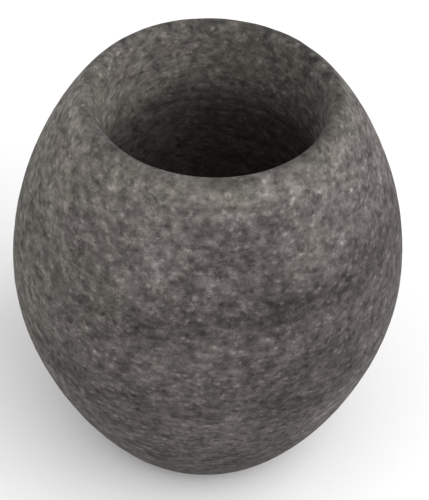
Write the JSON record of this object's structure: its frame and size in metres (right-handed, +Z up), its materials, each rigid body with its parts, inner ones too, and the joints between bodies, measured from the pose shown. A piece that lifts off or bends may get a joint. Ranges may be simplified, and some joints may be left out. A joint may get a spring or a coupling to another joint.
{
  "type": "molcajete",
  "caption": "Egg-shaped stone mortar with a deep, round-floored grinding bowl, a rounded lip and a small flat base to stand on.",
  "frame": {"origin": "centre of the flat base, on the surface that the mortar stands on", "axes": "+Z up along the axis of the egg and of its bowl, towards the mouth; the form is turned, so X and Y are alike"},
  "size_m": [0.15, 0.15, 0.165],
  "materials": {
    "stone": "matt, finely pecked dark grey volcanic stone with light and dark speckles"
  },
  "bodies": {
    "root": {"mortar_body": "stone"}
  },
  "joints": []
}
